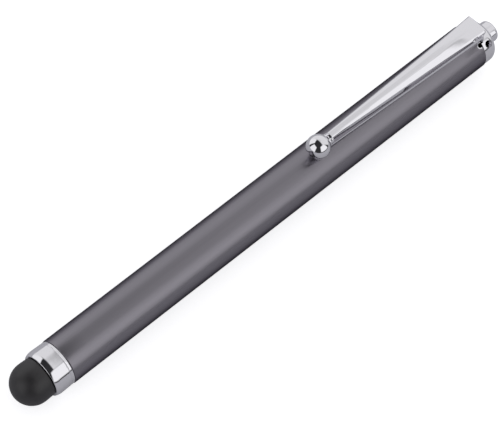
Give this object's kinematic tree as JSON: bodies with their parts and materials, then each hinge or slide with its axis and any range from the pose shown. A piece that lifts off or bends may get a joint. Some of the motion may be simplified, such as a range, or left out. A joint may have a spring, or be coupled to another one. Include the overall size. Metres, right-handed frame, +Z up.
{
  "type": "stylus pen",
  "caption": "Slim touch-screen stylus pen: hollow rubber tip, bright ferrule, plain metal tube and a sprung pocket clip ending in a ball, with a knobbed end cap.",
  "frame": {"origin": "middle of the pen's box, at the height of the lowest line of the barrel, where it lies on a table", "axes": "+X along the pen from the rubber tip to the end knob, +Y across it, +Z up through the pocket clip"},
  "size_m": [0.118, 0.009, 0.0137],
  "materials": {
    "tip_rubber": "matt conductive silicone rubber",
    "bright_chrome": "polished chrome plate",
    "anodised_tube": "satin gunmetal anodised",
    "turned_brass": "as turned"
  },
  "bodies": {
    "pen": {"barrel": "anodised_tube", "ferrule": "bright_chrome", "tip_plug": "turned_brass", "rear_bush": "turned_brass", "clip_eye": "bright_chrome", "end_cap": "bright_chrome", "end_knob": "bright_chrome"},
    "clip": {"clip_arm": "bright_chrome", "clip_ball": "bright_chrome"},
    "tip": {"tip_dome": "tip_rubber"}
  },
  "joints": [
    {"name": "clip_flex", "type": "hinge", "parent": "pen", "child": "clip", "pos_m": [0.05351, 0, 0.00953], "axis": [0, 1, 0], "range_deg": [0, 5], "stiffness_Nm_per_rad": 3.4},
    {"name": "tip_press", "type": "slide", "parent": "pen", "child": "tip", "axis": [1, 0, 0], "range_m": [0, 0.0008], "stiffness_N_per_m": 1800, "deforming": ["tip_dome"]}
  ]
}
